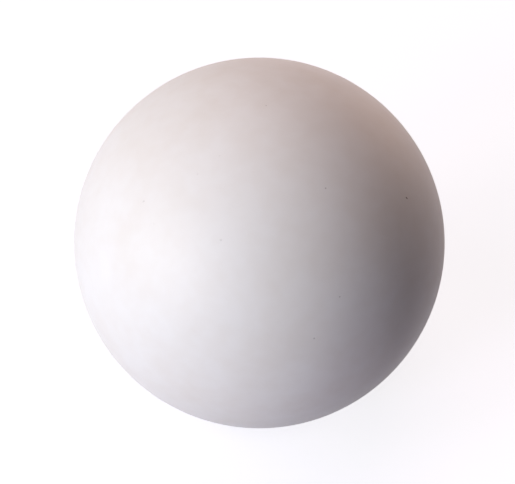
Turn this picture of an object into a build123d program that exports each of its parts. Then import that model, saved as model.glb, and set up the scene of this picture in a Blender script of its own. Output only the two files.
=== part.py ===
from build123d import *
import os

# Pool cue ball: one homogeneous casting of phenolic resin, ground and polished to a true sphere.
# It has no shell, core, seam, insert or fastener, so the whole object is one solid in one node.
# Units are millimetres. The origin is the ball's centre and +Z is up.

# Driving dimension
BALL_DIAMETER = 57.15  # regulation 2 1/4 in pool ball

# The point where the ball touches the bed of the table, straight below its centre
BED_CONTACT_Z = -BALL_DIAMETER / 2


def make_ball():
    """The ball: a full solid sphere centred on the origin."""
    ball = Sphere(radius=BALL_DIAMETER / 2)
    ball.label = "ball"
    return ball


os.makedirs("parts", exist_ok=True)

ball = make_ball()
export_step(ball, "parts/ball.step")

print(f"ball: diameter {BALL_DIAMETER} mm, volume {ball.volume:.1f} mm3, bed contact at z = {BED_CONTACT_Z}")
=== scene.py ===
import math
import random

import bmesh
import bpy
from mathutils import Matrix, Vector
from mathutils.kdtree import KDTree


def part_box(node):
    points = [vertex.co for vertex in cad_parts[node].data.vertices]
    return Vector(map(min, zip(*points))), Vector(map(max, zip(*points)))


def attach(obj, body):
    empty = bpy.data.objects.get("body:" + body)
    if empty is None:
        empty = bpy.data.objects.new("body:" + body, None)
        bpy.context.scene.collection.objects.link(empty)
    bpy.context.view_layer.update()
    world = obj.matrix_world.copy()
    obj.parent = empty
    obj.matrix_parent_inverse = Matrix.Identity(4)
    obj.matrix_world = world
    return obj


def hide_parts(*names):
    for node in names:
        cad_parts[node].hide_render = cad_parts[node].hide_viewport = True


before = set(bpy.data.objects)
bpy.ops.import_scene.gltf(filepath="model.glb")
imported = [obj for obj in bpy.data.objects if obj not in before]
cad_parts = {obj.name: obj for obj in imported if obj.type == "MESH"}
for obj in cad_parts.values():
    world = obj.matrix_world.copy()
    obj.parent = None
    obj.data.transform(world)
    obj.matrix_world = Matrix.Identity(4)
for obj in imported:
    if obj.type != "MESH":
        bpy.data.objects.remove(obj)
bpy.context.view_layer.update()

# ---------------------------------------------------------------- driving sizes
MM = 0.001
BALL_CENTRE = Vector((0, 0, 0))  # the frame's origin is the ball's centre
BALL_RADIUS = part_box("ball")[1].z
FLOOR_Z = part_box("ball")[0].z  # the ball stands on the floor at its lowest point


# ---------------------------------------------------------------- small helpers
def linear(hex_colour):
    """An sRGB hex colour as linear RGBA."""
    channels = [int(hex_colour[i:i + 2], 16) / 255 for i in (1, 3, 5)]
    return [c / 12.92 if c <= 0.04045 else ((c + 0.055) / 1.055) ** 2.4 for c in channels] + [1.0]


def add_node(tree, kind, settings=None, **inputs):
    """Adds a node with its settings. An input takes a value, or an output socket to link from."""
    node = tree.nodes.new(kind)
    for name, value in (settings or {}).items():
        setattr(node, name, value)
    for name, value in inputs.items():
        socket = node.inputs[int(name[1:])] if name[1:].isdigit() else node.inputs[name.replace("_", " ")]
        if isinstance(value, bpy.types.NodeSocket):
            tree.links.new(value, socket)
        else:
            socket.default_value = value
    return node


def direction(azimuth, elevation):
    """Unit vector from the ball's centre. Azimuth 0 is towards the viewer at the front (-Y), 90 is +X."""
    turn, tilt = math.radians(azimuth), math.radians(elevation)
    return Vector((math.sin(turn) * math.cos(tilt), -math.cos(turn) * math.cos(tilt), math.sin(tilt)))


def smooth_fall(value, start, end):
    """1 below start, 0 above end, with a smooth fall between."""
    share = min(1.0, max(0.0, (value - start) / (end - start)))
    return 1 - share * share * (3 - 2 * share)


def new_material(name):
    """An empty node material and its tree."""
    material = bpy.data.materials.new(name)
    material.use_nodes = True
    material.node_tree.nodes.clear()
    return material, material.node_tree


def per_metre(size_mm):
    """Texture scale that makes one cell of a pattern this many millimetres across."""
    return 1 / (size_mm * MM)


def seen_or_mirrored(tree):
    """A socket that is 1 on camera, glossy and transmission rays, and 0 on diffuse ones."""
    path = add_node(tree, "ShaderNodeLightPath")
    seen = path.outputs["Is Camera Ray"]
    for kind in ("Is Glossy Ray", "Is Transmission Ray"):
        either = add_node(tree, "ShaderNodeMath", {"operation": "MAXIMUM"}, _0=seen, _1=path.outputs[kind])
        seen = either.outputs[0]
    return seen


# ---------------------------------------------------------------- the ball's mesh
ROWS_PER_FACE = 80  # quads across one face of the cube the ball is swelled from, about 0.56 mm each
SHEET_COLUMNS, SHEET_ROWS = 3, 2  # the six faces laid out on the UV sheet
SHEET_GUTTER = 0.01  # clear edge round each face on the sheet, as a share of its cell
WELD_MM = 0.01  # joins the edges that neighbouring faces share
KNOCK_SPLITS = 4  # each split halves the quads round a knock, down to about 0.035 mm
CUBE_FACES = (  # outward and rightward axes of each face
    (Vector((0, -1, 0)), Vector((1, 0, 0))),
    (Vector((1, 0, 0)), Vector((0, 1, 0))),
    (Vector((0, 1, 0)), Vector((-1, 0, 0))),
    (Vector((-1, 0, 0)), Vector((0, -1, 0))),
    (Vector((0, 0, 1)), Vector((1, 0, 0))),
    (Vector((0, 0, -1)), Vector((1, 0, 0))),
)

# Knocks that play has left in the face, each with dirt in it: azimuth, elevation, length mm, width mm,
# turn in degrees from level, how dark its dirt is (0 clean, 1 full).
SEEN_KNOCKS = (
    (-50, 43.5, 0.45, 0.28, 60, 0.16),
    (-14, 42, 0.35, 0.30, 0, 0.12),
    (65, 37, 0.50, 0.20, 110, 1.0),  # the plainest: a dark reddish nick
    (-33, 57.5, 0.22, 0.20, 0, 0.12),
    (-26, 64.5, 0.22, 0.18, 30, 0.12),
    (31.5, 53.5, 0.26, 0.22, 10, 0.35),
    (15.5, 13.5, 0.28, 0.22, 120, 0.36),
    (24.5, 24, 0.26, 0.22, 40, 0.30),
    (16.5, 83.5, 0.18, 0.16, 0, 0.40),
    (-41, 40, 0.24, 0.20, 20, 0.06),
)
FAR_SIDE_KNOCKS = 12  # the side turned away is worn like the side seen
FAR_AZIMUTHS, FAR_ELEVATIONS = (110, 250), (-55, 30)
FAR_LENGTHS_MM, FAR_WIDTH_SHARES = (0.18, 0.42), (0.5, 0.9)  # widths are shares of the lengths
FAR_TURNS, FAR_DIRT = (0, 180), (0.1, 0.6)
FAR_SIDE_SEED, OUTLINE_SEED = 11, 5
KNOCK_DEPTH_SHARE = 0.14  # depth of a knock as a share of its width
SPLIT_REACH_LENGTHS = 0.7  # how far round a knock the quads are split: this share of its length
SPLIT_REACH_QUADS = 1.2  # and this many quads more
WAVE_OF_THREE, WAVE_OF_FIVE = 0.16, 0.10  # how uneven a knock's outline is
DIRT_CORE, DIRT_EDGE = 0.55, 1.15  # dirt thins from here to here, as shares of the knock's half size


def all_knocks():
    """The knocks seen, and seeded ones of the same kind on the far side."""
    chance = random.Random(FAR_SIDE_SEED)
    knocks = list(SEEN_KNOCKS)
    for _ in range(FAR_SIDE_KNOCKS):
        length = chance.uniform(*FAR_LENGTHS_MM)
        knocks.append((
            chance.uniform(*FAR_AZIMUTHS), chance.uniform(*FAR_ELEVATIONS),
            length, length * chance.uniform(*FAR_WIDTH_SHARES),
            chance.uniform(*FAR_TURNS), chance.uniform(*FAR_DIRT),
        ))
    return knocks


def swelled_cube():
    """Six square faces of a cube swelled to the ball, each with its own place on the UV sheet."""
    ball = bmesh.new()
    sheet = ball.loops.layers.uv.new("OFBake")
    for number, (outward, right) in enumerate(CUBE_FACES):
        up = outward.cross(right)
        steps = [math.tan((2 * i / ROWS_PER_FACE - 1) * math.pi / 4) for i in range(ROWS_PER_FACE + 1)]
        grid = [
            [
                ball.verts.new((outward + right * across + up * rise).normalized() * BALL_RADIUS)
                for across in steps
            ]
            for rise in steps
        ]
        for j in range(ROWS_PER_FACE):
            for i in range(ROWS_PER_FACE):
                face = ball.faces.new((grid[j][i], grid[j][i + 1], grid[j + 1][i + 1], grid[j + 1][i]))
                for loop, (x, y) in zip(face.loops, ((i, j), (i + 1, j), (i + 1, j + 1), (i, j + 1))):
                    u = SHEET_GUTTER + (1 - 2 * SHEET_GUTTER) * x / ROWS_PER_FACE
                    v = SHEET_GUTTER + (1 - 2 * SHEET_GUTTER) * y / ROWS_PER_FACE
                    column, row = number % SHEET_COLUMNS, number // SHEET_COLUMNS
                    loop[sheet].uv = ((column + u) / SHEET_COLUMNS, (row + v) / SHEET_ROWS)
    bmesh.ops.remove_doubles(ball, verts=ball.verts, dist=WELD_MM * MM)
    return ball


def split_round_knocks(ball, knocks):
    """Halves the quads near each knock, a few times over, keeping every new point on the ball."""
    centres = KDTree(len(knocks))
    for number, (azimuth, elevation, *_) in enumerate(knocks):
        centres.insert(direction(azimuth, elevation) * BALL_RADIUS, number)
    centres.balance()
    spacing = BALL_RADIUS * math.pi / 2 / ROWS_PER_FACE
    for _ in range(KNOCK_SPLITS):
        near = []
        for edge in ball.edges:
            middle = (edge.verts[0].co + edge.verts[1].co) / 2
            _, number, distance = centres.find(middle)
            if distance < knocks[number][2] * MM * SPLIT_REACH_LENGTHS + spacing * SPLIT_REACH_QUADS:
                near.append(edge)
        bmesh.ops.subdivide_edges(ball, edges=near, cuts=1, use_grid_fill=True)
        for vert in ball.verts:
            vert.co = vert.co.normalized() * BALL_RADIUS
        spacing /= 2


def press_knocks(ball, knocks):
    """Presses each knock into the ball with an uneven outline, and notes the dirt lying in it."""
    dirt = ball.verts.layers.float.new("dirt")
    chance = random.Random(OUTLINE_SEED)
    points = KDTree(len(ball.verts))
    verts = list(ball.verts)
    for number, vert in enumerate(verts):
        points.insert(vert.co, number)
    points.balance()
    pressed = set()
    for azimuth, elevation, length, width, turn, darkness in knocks:
        outward = direction(azimuth, elevation)
        level = Vector((0, 0, 1)).cross(outward).normalized()
        upward = outward.cross(level)
        angle = math.radians(turn)
        along = level * math.cos(angle) + upward * math.sin(angle)
        across = outward.cross(along)
        three, five = chance.uniform(0, 2 * math.pi), chance.uniform(0, 2 * math.pi)
        centre = outward * BALL_RADIUS
        for _, number, _ in points.find_range(centre, length * MM):
            vert = verts[number]
            offset = vert.co - centre
            x = offset.dot(along) / (length * MM / 2)
            y = offset.dot(across) / (width * MM / 2)
            heading = math.atan2(y, x)
            uneven = 1 + WAVE_OF_THREE * math.sin(3 * heading + three)
            uneven += WAVE_OF_FIVE * math.sin(5 * heading + five)
            reach = math.hypot(x, y) / uneven
            vert[dirt] = max(vert[dirt], darkness * smooth_fall(reach, DIRT_CORE, DIRT_EDGE))
            if reach < 1:
                vert.co -= outward * (width * MM * KNOCK_DEPTH_SHARE * (1 - reach * reach) ** 2)
                pressed.add(vert)
    return pressed


def cue_ball(knocks):
    """The ball, smooth and round to the eye, with its small knocks as real hollows."""
    ball = swelled_cube()
    split_round_knocks(ball, knocks)
    pressed = press_knocks(ball, knocks)
    ball.normal_update()
    normals = [vert.normal.copy() if vert in pressed else vert.co.normalized() for vert in ball.verts]
    mesh = bpy.data.meshes.new("cue_ball")
    ball.to_mesh(mesh)
    ball.free()
    mesh.shade_smooth()
    mesh.normals_split_custom_set_from_vertices(normals)
    piece = bpy.data.objects.new("cue_ball", mesh)
    bpy.context.collection.objects.link(piece)
    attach(piece, "root")
    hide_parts("ball")
    return piece


# ---------------------------------------------------------------- materials
CLEAN_WHITE, WARM_WHITE, DIRT_BROWN = "#EEECEA", "#EAE6E2", "#4A2E26"
CLOUD_MM = 9  # slow shifts of tone left by the cast
CLOUD_LOW, CLOUD_HIGH = 0.5, 0.9  # the noise runs from clean to warm white between these
MOTTLE_MM = 2.2  # patches rubbed a little duller or brighter
MOTTLE_SHARE = 0.35  # how far the patches add to the slow shifts of tone
RUB_MM = 0.35  # hairline rubs; real ones are under 0.05 mm wide and are drawn coarser so that they show
RUB_STRETCH = 0.08  # slows the noise along a rub, so each is about 12 times as long as wide
RUB_TURNS = ((0.3, 0.8, 0.1), (1.1, -0.4, 1.9))  # two crossing ways, in radians
WORN_LOW, WORN_HIGH = 1.0, 2.0  # the summed noises run from the best to the worst kept skin
SATIN_LOW, SATIN_HIGH = 0.50, 0.57  # roughness of the best and worst kept skin
DIRT_DULLING = 0.3  # what dirt in a knock adds to the roughness
GRAIN_MM = 0.5  # unevenness of the worn skin; drawn coarser than the real 0.02 mm so that it shows
GRAIN_HEIGHT_MM = 0.004
RESIN_IOR = 1.5


def cast_phenolic_resin():
    """White phenolic resin, cast, ground and polished, then dulled to a satin by play.
    To the eye: an even, opaque, dense white. The polish is gone from mirror to satin, so the window shows
    as one broad soft sheen with no edge, and the small knocks show as dark points."""
    material, tree = new_material("phenolic_resin_cast_polished_worn_satin")
    place = add_node(tree, "ShaderNodeTexCoord").outputs["Object"]

    # Base colour: a clean white, clouded towards a warmer white, with dirt in the knocks.
    cloud = add_node(tree, "ShaderNodeTexNoise", Vector=place, Scale=per_metre(CLOUD_MM), Detail=3.0)
    mottle = add_node(tree, "ShaderNodeTexNoise", Vector=place, Scale=per_metre(MOTTLE_MM), Detail=4.0)
    both = add_node(tree, "ShaderNodeMath", {"operation": "MULTIPLY_ADD"},
                    _0=mottle.outputs["Fac"], _1=MOTTLE_SHARE, _2=cloud.outputs["Fac"])
    warmth = add_node(tree, "ShaderNodeMapRange", Value=both.outputs[0],
                      From_Min=CLOUD_LOW, From_Max=CLOUD_HIGH)
    white = add_node(tree, "ShaderNodeMix", {"data_type": "RGBA"},
                     _0=warmth.outputs["Result"], _6=linear(CLEAN_WHITE), _7=linear(WARM_WHITE))
    dirt = add_node(tree, "ShaderNodeAttribute", {"attribute_name": "dirt"})
    colour = add_node(tree, "ShaderNodeMix", {"data_type": "RGBA"},
                      _0=dirt.outputs["Fac"], _6=white.outputs[2], _7=linear(DIRT_BROWN))

    # Roughness: the satin of wear, with hairline rubs crossing two ways and dull dirt.
    rubs = []
    for turn in RUB_TURNS:
        turned = add_node(tree, "ShaderNodeMapping", Vector=place, Rotation=turn,
                          Scale=(1.0, RUB_STRETCH, RUB_STRETCH))
        rub = add_node(tree, "ShaderNodeTexNoise", Vector=turned.outputs[0],
                       Scale=per_metre(RUB_MM), Detail=2.0)
        rubs.append(rub.outputs["Fac"])
    rubbed = add_node(tree, "ShaderNodeMath", {"operation": "ADD"}, _0=rubs[0], _1=rubs[1])
    worn = add_node(tree, "ShaderNodeMath", {"operation": "ADD"},
                    _0=rubbed.outputs[0], _1=mottle.outputs["Fac"])
    satin = add_node(tree, "ShaderNodeMapRange", Value=worn.outputs[0],
                     From_Min=WORN_LOW, From_Max=WORN_HIGH, To_Min=SATIN_LOW, To_Max=SATIN_HIGH)
    roughness = add_node(tree, "ShaderNodeMath", {"operation": "MULTIPLY_ADD"},
                         _0=dirt.outputs["Fac"], _1=DIRT_DULLING, _2=satin.outputs["Result"])

    # Bump: the skin is not quite glass-flat.
    grain = add_node(tree, "ShaderNodeTexNoise", Vector=place, Scale=per_metre(GRAIN_MM), Detail=2.0)
    skin = add_node(tree, "ShaderNodeBump", Height=grain.outputs["Fac"],
                    Strength=1.0, Distance=GRAIN_HEIGHT_MM * MM)

    shader = add_node(
        tree, "ShaderNodeBsdfPrincipled",
        Base_Color=colour.outputs[2], Roughness=roughness.outputs[0], IOR=RESIN_IOR, Normal=skin.outputs[0],
    )
    add_node(tree, "ShaderNodeOutputMaterial", Surface=shader.outputs["BSDF"])
    return material


FLOOR_PAINT = "#A6A2B2"  # a mid grey-lavender, which is the tint it throws up on the ball
FLOOR_GLOW_NEAR = 0.80  # with the lamps' light on the paint, the floor round the ball comes close to white
FLOOR_GLOW_FAR = 1.0
GLOW_NEAR_RADIUS, GLOW_FAR_RADIUS = 0.10, 0.35  # metres from the ball
PAINTED_CONTACT_SHADE_RADIUS = 0.018  # metres; within this the lift falls off, which paints a darker contact shadow on the floor under the ball
LIFT_LEFT_IN_PAINTED_SHADE = 0.65  # share of the lift left right under the ball, at the middle of the painted contact shadow


def pale_floor():
    """Matt painted board. The lamps light it and the ball shades it. What is seen or mirrored of it is
    lifted towards white, less so right under the ball, which paints a darker contact shadow there, and the
    diffuse light that it throws on the ball is left alone."""
    material, tree = new_material("painted_board_matt_pale")
    place = add_node(tree, "ShaderNodeTexCoord").outputs["Object"]
    away = add_node(tree, "ShaderNodeVectorMath", {"operation": "LENGTH"}, _0=place)
    level = add_node(tree, "ShaderNodeMapRange", {"interpolation_type": "SMOOTHSTEP"},
                     Value=away.outputs["Value"], From_Min=GLOW_NEAR_RADIUS, From_Max=GLOW_FAR_RADIUS,
                     To_Min=FLOOR_GLOW_NEAR, To_Max=FLOOR_GLOW_FAR)
    # Painted contact shadow: less lift under the ball, so the floor there is darker under any lamps.
    painted_contact_shade = add_node(tree, "ShaderNodeMapRange", {"interpolation_type": "SMOOTHSTEP"},
                       Value=away.outputs["Value"], From_Min=0.0, From_Max=PAINTED_CONTACT_SHADE_RADIUS,
                       To_Min=LIFT_LEFT_IN_PAINTED_SHADE, To_Max=1.0)
    lift = add_node(tree, "ShaderNodeMath", {"operation": "MULTIPLY"},
                    _0=painted_contact_shade.outputs["Result"], _1=level.outputs["Result"])
    lift = add_node(tree, "ShaderNodeMath", {"operation": "MULTIPLY"},
                    _0=seen_or_mirrored(tree), _1=lift.outputs[0])
    paint = add_node(tree, "ShaderNodeBsdfDiffuse", Color=linear(FLOOR_PAINT))
    glow = add_node(tree, "ShaderNodeEmission", Color=linear("#FFFFFF"), Strength=lift.outputs[0])
    both = add_node(tree, "ShaderNodeAddShader", _0=paint.outputs[0], _1=glow.outputs[0])
    add_node(tree, "ShaderNodeOutputMaterial", Surface=both.outputs[0])
    return material


# ---------------------------------------------------------------- studio
CAMERA_ELEVATION = 42
CAMERA_LENS_MM = 85
SENSOR_MM = 36
BALL_SHARE_OF_WIDTH = 0.72
AIM_LEFT_MM, AIM_UP_MM = 0.28, 0.14  # the ball sits a hair right of and below the middle
CLIP_NEAR, CLIP_FAR = 0.01, 50  # metres
FLOOR_HALF = 4.0  # metres
LAMP_DISTANCE = 0.6  # metres


def make_camera():
    """In front of the ball and above it, back far enough for the ball to take its share of the width."""
    data = bpy.data.cameras.new("camera")
    data.lens, data.sensor_width = CAMERA_LENS_MM, SENSOR_MM
    data.clip_start, data.clip_end = CLIP_NEAR, CLIP_FAR
    half_angle = math.atan(BALL_SHARE_OF_WIDTH / 2 * SENSOR_MM / CAMERA_LENS_MM)
    camera = bpy.data.objects.new("camera", data)
    back = direction(0, CAMERA_ELEVATION)
    up = direction(0, CAMERA_ELEVATION + 90)
    aim = BALL_CENTRE - Vector((1, 0, 0)) * AIM_LEFT_MM * MM + up * AIM_UP_MM * MM
    camera.location = aim + back * (BALL_RADIUS / math.sin(half_angle))
    camera.rotation_euler = back.to_track_quat("Z", "Y").to_euler()
    bpy.context.collection.objects.link(camera)
    bpy.context.scene.camera = camera


def make_floor():
    """One wide flat quad under the ball."""
    mesh = bpy.data.meshes.new("floor")
    corners = [(x * FLOOR_HALF, y * FLOOR_HALF, 0) for x, y in ((-1, -1), (1, -1), (1, 1), (-1, 1))]
    mesh.from_pydata(corners, [], [(0, 1, 2, 3)])
    mesh.materials.append(pale_floor())
    floor = bpy.data.objects.new("floor", mesh)
    floor.location.z = FLOOR_Z
    bpy.context.collection.objects.link(floor)


def studio_lamp(name, azimuth, elevation, width, height, power, colour):
    """A soft panel facing the ball. Its sides are in metres and its power in watts."""
    data = bpy.data.lights.new(name, "AREA")
    data.shape = "RECTANGLE"
    data.size, data.size_y = width, height
    data.energy = power
    data.color = linear(colour)[:3]
    lamp = bpy.data.objects.new(name, data)
    away = direction(azimuth, elevation)
    lamp.location = BALL_CENTRE + away * LAMP_DISTANCE
    lamp.rotation_euler = away.to_track_quat("Z", "Y").to_euler()
    bpy.context.collection.objects.link(lamp)
    lamp.visible_camera = False


def make_world():
    """White where it is looked at or mirrored, and dark to diffuse rays, so that the soft light on the
    ball comes from the lamps alone."""
    world = bpy.data.worlds.new("world")
    bpy.context.scene.world = world
    world.use_nodes = True
    tree = world.node_tree
    tree.nodes.clear()
    sky = add_node(tree, "ShaderNodeBackground", Color=linear("#FFFFFF"), Strength=seen_or_mirrored(tree))
    add_node(tree, "ShaderNodeOutputWorld", Surface=sky.outputs[0])


# ---------------------------------------------------------------- the scene
ball = cue_ball(all_knocks())
ball.data.materials.append(cast_phenolic_resin())

make_camera()
make_floor()
make_world()
studio_lamp("window", -64, 18, 0.16, 0.36, 1.37, "#F6FCF2")
studio_lamp("window_side", -43, 15, 0.14, 0.30, 2.05, "#F3F2FF")
studio_lamp("high_left", -75, 45, 0.30, 0.30, 0.55, "#ECEEFF")
studio_lamp("overhead", 180, 68, 0.50, 0.50, 1.32, "#FFE2DC")
studio_lamp("behind", 180, 25, 0.50, 0.50, 0.45, "#FFE4DC")
studio_lamp("rim", 140, 10, 0.30, 0.30, 0.42, "#FFD4BC")
bpy.context.scene.view_settings.view_transform = "Standard"
